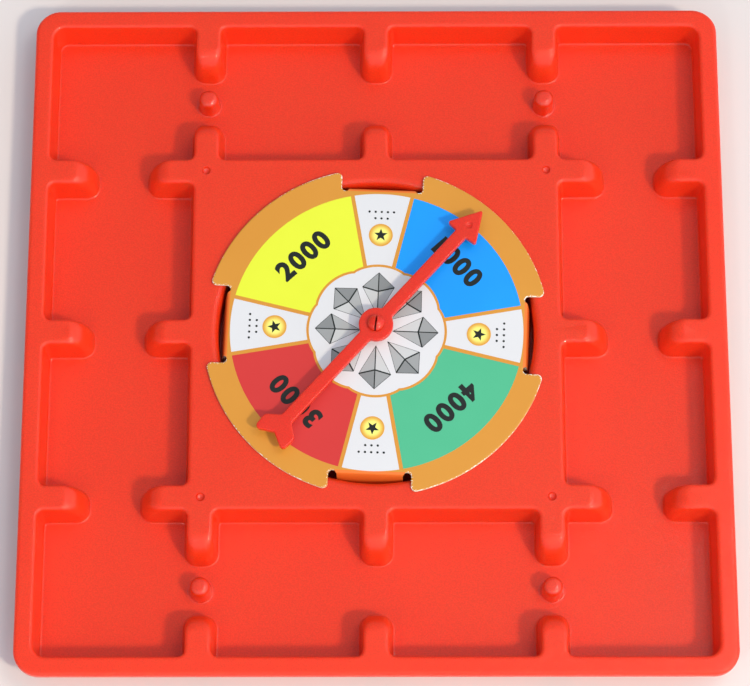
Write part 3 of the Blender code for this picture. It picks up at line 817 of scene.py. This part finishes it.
# %% The tree that sets copies round the hub
def round_the_hub():
    tree, given = new_tree(
        "copies round the hub", Shape="Object", Copies="Int", Radius="Float",
        First_turn="Float", Finish="Material",
    )
    shape = add(tree, "GeometryNodeObjectInfo", Object=given["Shape"])
    points = add(tree, "GeometryNodePoints", Count=given["Copies"])
    index = add(tree, "GeometryNodeInputIndex").outputs[0]
    step = add(tree, "ShaderNodeMath", {"operation": "DIVIDE"}, i0=math.tau, i1=given["Copies"])
    turn = add(
        tree, "ShaderNodeMath", {"operation": "MULTIPLY_ADD"},
        i0=index, i1=step.outputs[0], i2=given["First turn"],
    ).outputs[0]
    spin = add(tree, "ShaderNodeCombineXYZ", Z=turn)
    arm = add(tree, "ShaderNodeCombineXYZ", X=given["Radius"])
    place = add(
        tree, "ShaderNodeVectorRotate", {"rotation_type": "Z_AXIS"}, Vector=arm.outputs[0], Angle=turn
    )
    set_place = add(
        tree, "GeometryNodeSetPosition", Geometry=points.outputs[0], Position=place.outputs[0]
    )
    copies = add(
        tree, "GeometryNodeInstanceOnPoints", Points=set_place.outputs[0],
        Instance=shape.outputs["Geometry"], Rotation=spin.outputs[0],
    )
    return end_tree(tree, copies, given["Finish"])


HUB_TREE = round_the_hub()
print("tree inputs:", [item.name for item in HUB_TREE.interface.items_tree])

# %% Ink as thin films
INK = 0.014 * MM  # far thicker than real ink, so that each film lies clear of the one below
PRINT_SHIFT = Vector((0.2, -0.45, 0)) * MM  # the die did not cut quite in register
PRINT_PLACE = CARD_TURN @ Matrix.Translation(PRINT_SHIFT)
LAYERS = {"field": 1, "rosette line": 2, "rosette": 3, "mark": 4, "facet": 5}


def film(outline, layer, tone=None):
    """A closed film of ink with that outline, as an object for the tree to copy."""
    shape = bmesh.new()
    top = CARD_TOP + INK * LAYERS[layer]
    rows = [row_of(shape, outline, CARD_TOP - INK), row_of(shape, outline, top)]
    skin(shape, rows)
    for row in rows:
        panel(shape, [row])
    bmesh.ops.recalc_face_normals(shape, faces=shape.faces)
    mesh = mesh_of("film", shape)
    if tone is not None:
        tones = mesh.attributes.new("tone", "FLOAT", "POINT").data
        tones.foreach_set("value", [tone] * len(tones))
    return in_scene("film", mesh)


def printed(name, films, finish, copies=4, radius=0.0, first=0.0):
    """Copies of the films round the hub, joined in one piece of print on the disc."""
    shape = bmesh.new()
    for source in films:
        values = {"Shape": source, "Copies": copies, "Radius": radius}
        values |= {"First turn": first, "Finish": finish}
        shape.from_mesh(run_tree(name, HUB_TREE, values, PRINT_PLACE))
        bpy.data.objects.remove(source)
    mesh = mesh_of(name, shape)
    mesh.materials.append(finish)
    made = in_scene(name, mesh)
    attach(made, "card")
    print(name, len(mesh.polygons), "faces")


# %% [markdown]
# The disc is divided by orange lines of constant width, so the side of a field is not
# quite radial: at each radius it keeps half a line's width from the middle of the line.

# %% Print the fields
LINE_ANGLE = math.radians(11.9)
LINE_WIDTH = 1.4 * MM
FIELD_OUTER = 52.1 * MM
FIELD_INNER = 16 * MM
INKS = {
    "blue": varnished("blue ink under varnish", "#0A90F2", "#149CFF"),
    "yellow": varnished("yellow ink under varnish", "#DCE534", "#E6EE3E"),
    "red": varnished("crimson ink under varnish", "#C93230", "#D13A38"),
    "green": varnished("green ink under varnish", "#48B085", "#53BA8F"),
    "white": varnished("white ink under varnish", "#D7D7DC", "#DDDDE1"),
    "black": varnished("black ink under varnish", "#141A18", "#1C2220"),
}


def field(start, end):
    """The outline of a field between two lines, at angles start and end from the hub."""

    def side(angle, sign, radius):
        return polar(radius, angle + sign * math.asin(LINE_WIDTH / 2 / radius))

    half_line = math.asin(LINE_WIDTH / 2 / FIELD_OUTER)
    outer = arc(HUB, FIELD_OUTER, start + half_line, end - start - 2 * half_line, 48)
    return [side(start, 1, FIELD_INNER)] + outer + [side(end, -1, FIELD_INNER)]


for number, ink in enumerate(("blue", "yellow", "red", "green")):
    outline = field(LINE_ANGLE, math.pi / 2 - LINE_ANGLE)
    printed(f"print_{ink}_field", [film(outline, "field")], INKS[ink], 1, 0.0, math.radians(90 * number))
printed("print_white_fields", [film(field(-LINE_ANGLE, LINE_ANGLE), "field")], INKS["white"])

# %% [markdown]
# Round the hub lies a white rosette with a scalloped edge and an orange line round it.
# Eight grey kites stand on it. Each has four facets in different greys, as if lit from
# one side, with fine dark lines between them.

# %% Print the rosette
ROSETTE_RADIUS = 23 * MM
SCALLOP = 1.1 * MM
ROSETTE_LINE = 0.9 * MM
SCALLOP_STEPS = 192
KITES = 8
KITE_ROOT = Vector((5.6, 0)) * MM
KITE_RIDGE = Vector((14.8, 0)) * MM
KITE_WING = Vector((16.4, 5.8)) * MM
KITE_TIP = Vector((22, 0)) * MM
KITE_TONES = (0.9, 0.55, 0.22, 0.4)
FACET_SHARE = 0.9


def scalloped(radius):
    """A round outline with a shallow bay between each kite and the next."""
    points = []
    for step in range(SCALLOP_STEPS):
        angle = math.tau * step / SCALLOP_STEPS
        points.append(polar(radius + SCALLOP * abs(math.cos(angle * KITES / 2)) ** 0.7, angle))
    return points


def facet_grey():
    made, tree, shader = surface("grey inks under varnish", Roughness=VARNISH_ROUGHNESS)
    tone = add(tree, "ShaderNodeAttribute", {"attribute_name": "tone"})
    tree.links.new(mixed(tree, tone.outputs["Fac"], "#63676A", "#CFD1D3"), shader.inputs["Base Color"])
    return made


def shrunk(points, share):
    """A facet's outline drawn in a little, so that the dark ink under it shows as a line."""
    middle = sum(points, Vector((0, 0))) / len(points)
    return [middle + (point - middle) * share for point in points]


line_film = film(scalloped(ROSETTE_RADIUS + ROSETTE_LINE), "rosette line")
printed("print_rosette_line", [line_film], ORANGE, 1)
printed("print_rosette", [film(scalloped(ROSETTE_RADIUS), "rosette")], INKS["white"], 1)
other_wing = Vector((KITE_WING.x, -KITE_WING.y))
facets = [[KITE_ROOT, KITE_RIDGE, KITE_WING], [KITE_ROOT, other_wing, KITE_RIDGE]]
facets += [[KITE_RIDGE, other_wing, KITE_TIP], [KITE_RIDGE, KITE_TIP, KITE_WING]]
kite = film([KITE_ROOT, other_wing, KITE_TIP, KITE_WING], "mark")
printed("print_kite_lines", [kite], INKS["black"], KITES)
films = [film(shrunk(facet, FACET_SHARE), "facet", tone) for facet, tone in zip(facets, KITE_TONES)]
printed("print_kite_facets", films, facet_grey(), KITES)

# %% [markdown]
# A round spot with a shaded rim and a small star marks each white field, and two short
# rows of dots stand beside it.

# %% Print the spots
SPOT_REACH = 36.3 * MM
SPOT_RADIUS = 4.3 * MM
STAR_OUTER = 2.5 * MM
STAR_INNER = 1.05 * MM
DOT_RADIUS = 0.42 * MM
DOT_PITCH = 2.2 * MM
DOT_ROWS = ((8.9 * MM, 5), (6.4 * MM, 3))  # how far outside the spot, and how many


def spot_yellow():
    """The rim's deep yellow turns to light lemon in the middle, by distance from it."""
    made, tree, shader = surface("shaded yellow ink under varnish", Roughness=VARNISH_ROUGHNESS)
    place = add(tree, "ShaderNodeTexCoord").outputs["Object"]
    unturned = add(
        tree, "ShaderNodeMapping", Vector=place, Rotation=(0, 0, CARD_CREEP),
        Location=-PRINT_SHIFT,
    ).outputs[0]
    size = add(tree, "ShaderNodeVectorMath", {"operation": "ABSOLUTE"}, i0=unturned)
    parts = add(tree, "ShaderNodeSeparateXYZ", Vector=size.outputs[0])
    x, y = parts.outputs[:2]
    far = add(tree, "ShaderNodeMath", {"operation": "MAXIMUM"}, i0=x, i1=y)
    near = add(tree, "ShaderNodeMath", {"operation": "MINIMUM"}, i0=x, i1=y)
    reach = add(tree, "ShaderNodeMath", {"operation": "SUBTRACT"}, i0=far.outputs[0], i1=SPOT_REACH)
    flat = add(tree, "ShaderNodeCombineXYZ", X=reach.outputs[0], Y=near.outputs[0])
    distance = add(tree, "ShaderNodeVectorMath", {"operation": "LENGTH"}, i0=flat.outputs[0])
    ramp = add(
        tree, "ShaderNodeMapRange", {"interpolation_type": "SMOOTHSTEP"},
        Value=distance.outputs["Value"], From_Min=SPOT_RADIUS * 0.45, From_Max=SPOT_RADIUS,
    )
    ink = mixed(tree, ramp.outputs["Result"], "#F4F07A", "#DB9A32")
    tree.links.new(ink, shader.inputs["Base Color"])
    return made


def star(outer, inner):
    """Five points of the outer radius, with the inner radius between them."""
    return [polar(outer if i % 2 == 0 else inner, math.tau * i / 10) for i in range(10)]


def disc(radius, centre=(0, 0), steps=48):
    return arc(Vector(centre), radius, 0, math.tau, steps)[:-1]


printed("print_spots", [film(disc(SPOT_RADIUS), "mark")], spot_yellow(), 4, SPOT_REACH)
printed("print_stars", [film(star(STAR_OUTER, STAR_INNER), "facet")], INKS["black"], 4, SPOT_REACH)
dots = [(x, (i - (count - 1) / 2) * DOT_PITCH) for x, count in DOT_ROWS for i in range(count)]
dots = [film(disc(DOT_RADIUS, centre, 16), "mark") for centre in dots]
printed("print_dots", dots, INKS["black"], 4, SPOT_REACH)

# %% [markdown]
# Each coloured field carries a plain number. Blender's own text makes it: the letters
# are thickened a little, turned to mesh and only then set in their place, with their
# feet towards the hub.

# %% Print the numbers
NUMBER_HEIGHT = 9.6 * MM
NUMBER_REACH = 38.4 * MM
BOLDNESS = 0.047  # how much each stroke grows outwards, as a share of the height
LETTER_SPACING = 1.2


def number_mesh(text):
    curve = bpy.data.curves.new(text, "FONT")
    curve.body = text
    curve.size = NUMBER_HEIGHT
    curve.offset = BOLDNESS * NUMBER_HEIGHT
    curve.space_character = LETTER_SPACING
    curve.align_x = curve.align_y = "CENTER"
    curve.extrude = INK
    curve.resolution_u = 8
    writer = in_scene(text, curve)
    mesh = result_of(writer)
    bpy.data.objects.remove(writer)
    return mesh


shape = bmesh.new()
for number, text in enumerate(("1000", "2000", "3000", "4000")):
    mesh = number_mesh(text)
    out = Matrix.Translation((NUMBER_REACH, 0, CARD_TOP + 3 * INK))
    upright = Matrix.Rotation(math.radians(-90), 4, "Z")
    turn = Matrix.Rotation(math.radians(45 + 90 * number), 4, "Z")
    mesh.transform(PRINT_PLACE @ turn @ out @ upright)
    shape.from_mesh(mesh)
bmesh.ops.remove_doubles(shape, verts=shape.verts, dist=INK / 10)
piece("print_numbers", shape, "card", "printed_board", INKS["black"])

# %% [markdown]
# Handling chips the varnish off the disc's edge in small white flecks, most of them at
# the corners of the notches. Geometry Nodes scatter them over a narrow band along the
# edge: points at random, a flat pebble on each, turned and sized at random.

# %% Sizes of the chips, and their tree
SMALLEST_CHIP = 0.04 * MM
PEBBLE_POINTS = 12  # in the coarsest icosphere
CHIPS = (  # near the notches only, the band's two insets, chips a square metre, largest, seed
    (False, (0.06 * MM, 0.3 * MM), 0.5e6, 0.18 * MM, 4),
    (True, (0.05 * MM, 0.55 * MM), 3.2e6, 0.26 * MM, 7),
)
CORNER_BAND = 1.6 * MM  # how far from a notch's side counts as its corner
BAND_START = FOLD + 1.2 * MM  # nearer the hub than this, the edge is a flap's fold


def chips():
    tree, given = new_tree(
        "chips along an edge", Band="Object", Chips_per_square_metre="Float",
        Smallest="Float", Largest="Float", Seed="Int", Finish="Material",
    )
    band = add(tree, "GeometryNodeObjectInfo", Object=given["Band"])
    points = add(
        tree, "GeometryNodeDistributePointsOnFaces", Mesh=band.outputs["Geometry"],
        Density=given["Chips per square metre"], Seed=given["Seed"],
    )
    pebble = add(tree, "GeometryNodeMeshIcoSphere", Radius=1.0, Subdivisions=1)
    turn = add(
        tree, "FunctionNodeRandomValue", {"data_type": "FLOAT"}, i2=0.0, i3=math.tau,
        Seed=given["Seed"],
    )
    spin = add(tree, "ShaderNodeCombineXYZ", Z=turn.outputs[1])
    size = add(
        tree, "FunctionNodeRandomValue", {"data_type": "FLOAT"}, i2=given["Smallest"],
        i3=given["Largest"], Seed=given["Seed"],
    )
    narrow = add(tree, "ShaderNodeMath", {"operation": "MULTIPLY"}, i0=size.outputs[1], i1=0.5)
    scale = add(tree, "ShaderNodeCombineXYZ", X=size.outputs[1], Y=narrow.outputs[0], Z=INK)
    copies = add(
        tree, "GeometryNodeInstanceOnPoints", Points=points.outputs["Points"],
        Instance=pebble.outputs["Mesh"], Rotation=spin.outputs[0], Scale=scale.outputs[0],
    )
    return end_tree(tree, copies, given["Finish"])


CHIP_TREE = chips()
print("tree inputs:", [item.name for item in CHIP_TREE.interface.items_tree])

# %% Scatter the chips along the disc's edge
def edge_band(insets, near_notches):
    """A flat band along the disc's edge: all of it, or only the notches' corners."""
    shape = bmesh.new()
    outline, _ = card_outline()
    rows = [row_of(shape, inset_ring(outline, inset), CARD_TOP) for inset in insets]
    for i in range(len(outline)):
        middle = (outline[i - 1] + outline[i]) / 2
        turn = math.atan2(middle.y, middle.x) % (math.pi / 2)
        across = middle.length * math.sin(min(turn, math.pi / 2 - turn))
        corner = abs(across - NOTCH_HALF) < CORNER_BAND
        if middle.length > BAND_START and (corner or not near_notches):
            shape.faces.new((rows[0][i - 1], rows[0][i], rows[1][i], rows[1][i - 1]))
    return in_scene("band", mesh_of("band", shape))


PAPER = fibrous("bare white paper under the varnish", "#F2E6D6", "#FFFCF6", 3.0, 0.8)
shape = bmesh.new()
for near_notches, insets, density, largest, seed in CHIPS:
    band = edge_band(insets, near_notches)
    values = {"Band": band, "Chips per square metre": density, "Smallest": SMALLEST_CHIP}
    values |= {"Largest": largest, "Seed": seed, "Finish": PAPER}
    shape.from_mesh(run_tree("chips", CHIP_TREE, values, CARD_TURN))
    bpy.data.objects.remove(band)
print("chips:", len(shape.verts) // PEBBLE_POINTS)
piece("edge_chips", shape, "card", "printed_board", PAPER)

# %% [markdown]
# ## The arrow, its collar and the pin
#
# The arrow is one flat moulding with softly rounded edges: a hub, a straight shaft, a
# pointed head with a small ejector dimple and a fish tail with round lobes. Its outline
# is drawn flat, and rows drawn in by a quarter round give the soft edges.

# %% Sizes of the arrow and the pin
SPACER_TOP = CARD_TOP + 2.5 * MM
BOSS_BOTTOM = SPACER_TOP + CLEARANCE
BLADE_BOTTOM = BOSS_BOTTOM + 1 * MM
BLADE_TOP = BLADE_BOTTOM + 2.3 * MM
BLADE_EDGE = 0.45 * MM
SHAFT_HALF = 2.35 * MM
HUB_RADIUS = 6.1 * MM
HUB_FILLET = 1 * MM
BOSS_RADIUS = 4.6 * MM
BORE_CHAMFER = 0.25 * MM
HEAD_CORNERS = [(57.6, 0, 0.6), (45.9, 6.7, 0.7), (45.6, 2.35, 0.5)]  # x, y, radius in mm
TAIL_CORNERS = [(-47, 2.35, 2), (-50.6, 7.1, 2.6), (-57, 6.6, 1.4), (-53.4, 0, 0.8)]
LONG_SIDE = 50 * MM  # a side of the outline that is longer than this is the shaft's
HEAD_DIMPLE = Vector((49.9, 0)) * MM
HEAD_DIMPLE_RADIUS = 1.35 * MM
HEAD_DIMPLE_DEPTH = 0.5 * MM
ARROW_TURN = Matrix.Rotation(math.radians(48.3), 4, "Z")
PIN_RADIUS = 2.2 * MM
PIN_HEAD_RADIUS = 2.95 * MM
PIN_HEAD_BOTTOM = BLADE_TOP + CLEARANCE
PIN_TOP = PIN_HEAD_BOTTOM + 2.2 * MM
PIN_DOME = 1.55 * MM
FLANGE_RADIUS = 7 * MM
FLANGE_TOP = CARD_BOTTOM - CLEARANCE
FLANGE_BOTTOM = FLANGE_TOP - 1.2 * MM
SLIT_SIZE = Vector((0.6, 9, 8)) * MM
SLIT_DROP = 2 * MM  # from the pin's top to the middle of the cutting box
SLIT_TURN = Matrix.Rotation(math.radians(-7), 4, "Z")
SAME_PLACE = 0.001 * MM
print("blade from", round(BLADE_BOTTOM / MM, 2), "to", round(BLADE_TOP / MM, 2), "mm")

# %% Draw the arrow
def blade_outline():
    """Tip, far side and tail, then the near side as its mirror image, with the hub between."""
    lower = [(x, -y, radius) for x, y, radius in reversed(HEAD_CORNERS[1:] + TAIL_CORNERS[:-1])]
    around = HEAD_CORNERS + TAIL_CORNERS + lower
    corners = [(x * MM, y * MM, radius * MM) for x, y, radius in around]
    points = rounded(corners, 8)
    outline = []
    for i, point in enumerate(points):
        outline.append(point)
        after = points[(i + 1) % len(points)]
        if abs(point.x - after.x) > LONG_SIDE:
            outline += hub_side(1 if point.y > 0 else -1)
    return outline


def hub_side(side):
    """The hub's round side, from one fillet against the shaft to the other."""
    reach = HUB_RADIUS + HUB_FILLET
    height = SHAFT_HALF + HUB_FILLET
    centre = Vector((math.sqrt(reach**2 - height**2), height))
    angle = math.atan2(centre.y, centre.x)
    fillet = arc(centre, HUB_FILLET, -math.pi / 2, angle - math.pi / 2, 6)
    round_side = arc(HUB, HUB_RADIUS, angle, math.pi - 2 * angle, 48)[1:-1]
    other = [Vector((-point.x, point.y)) for point in reversed(fillet)]
    points = fillet + round_side + other
    return points if side > 0 else [-point for point in points]


def arrow():
    shape = bmesh.new()
    outline = blade_outline()
    steps = [(1 - math.cos(a), 1 - math.sin(a)) for a in quarter(5)]
    levels = [(1.4, BLADE_BOTTOM)]
    levels += [(fall_in, BLADE_BOTTOM + BLADE_EDGE * up) for up, fall_in in steps]
    levels += [(fall_in, BLADE_TOP - BLADE_EDGE * up) for up, fall_in in reversed(steps)]
    levels.append((1.4, BLADE_TOP))
    rows = [row_of(shape, inset_ring(outline, inset * BLADE_EDGE), z) for inset, z in levels]
    skin(shape, rows)
    bore_top = (PIN_HOLE_RADIUS, BLADE_TOP - BORE_CHAMFER)
    bore = turned(shape, [(PIN_HOLE_RADIUS + BORE_CHAMFER, BLADE_TOP), bore_top])
    dent = bowl(HEAD_DIMPLE_RADIUS, BLADE_TOP, HEAD_DIMPLE_DEPTH, 5)
    dent_edge = turned(shape, dent, HEAD_DIMPLE)
    panel(shape, [rows[-1], bore, dent_edge])
    boss = [(BOSS_RADIUS, BLADE_BOTTOM), (BOSS_RADIUS, BOSS_BOTTOM)]
    boss_edge = turned(shape, boss + [(PIN_HOLE_RADIUS, BOSS_BOTTOM), bore_top])
    panel(shape, [rows[0], boss_edge])
    bmesh.ops.remove_doubles(shape, verts=shape.verts, dist=SAME_PLACE)
    bmesh.ops.transform(shape, matrix=ARROW_TURN, verts=shape.verts)
    return shape


arrow_piece = piece("turning_arrow", arrow(), "arrow", "arrow_plastic", ARROW_RED)
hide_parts("arrow")

# %% [markdown]
# The pin's domed head is slit, so that its halves can close as the arrow is pressed on.
# A Boolean cuts the slit from the turned pin. The plain collar under the arrow keeps its
# ready-made solid and takes the arrow's plastic.

# %% Draw the pin
def pin():
    shape = bmesh.new()
    neck = (PIN_RADIUS, PIN_HEAD_BOTTOM)
    head = [neck]
    for angle in quarter(8)[:-1]:
        head.append((PIN_HEAD_RADIUS * math.cos(angle), PIN_TOP - PIN_DOME * (1 - math.sin(angle))))
    turned(shape, head + [(0, PIN_TOP)], steps=64)
    shank = [neck, (PIN_RADIUS, FLANGE_TOP)]
    flange = [(FLANGE_RADIUS, FLANGE_TOP), (FLANGE_RADIUS, FLANGE_BOTTOM), (0, FLANGE_BOTTOM)]
    turned(shape, shank + flange, steps=64)
    bmesh.ops.remove_doubles(shape, verts=shape.verts, dist=SAME_PLACE)
    return shape


def slit(target):
    """Cuts the slit from the pin's head, with a thin box as the cutter."""
    shape = bmesh.new()
    bmesh.ops.create_cube(shape, size=1)
    place = Matrix.Translation((0, 0, PIN_TOP - SLIT_DROP)) @ SLIT_TURN
    size = Matrix.Diagonal((*SLIT_SIZE, 1))
    bmesh.ops.transform(shape, matrix=place @ size, verts=shape.verts)
    cutter = in_scene("slit", mesh_of("slit", shape))
    cut = target.modifiers.new("slit", "BOOLEAN")
    cut.operation = "DIFFERENCE"
    cut.solver = "EXACT"
    cut.object = cutter
    result = result_of(target)
    target.modifiers.clear()
    target.data = result
    smooth(result)
    bpy.data.objects.remove(cutter)


pin_piece = piece("slit_pin", pin(), "card", "arrow_plastic", ARROW_RED)
slit(pin_piece)
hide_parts("pivot_pin")
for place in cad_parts["spacer"].material_slots:
    place.link = "OBJECT"
    place.material = ARROW_RED
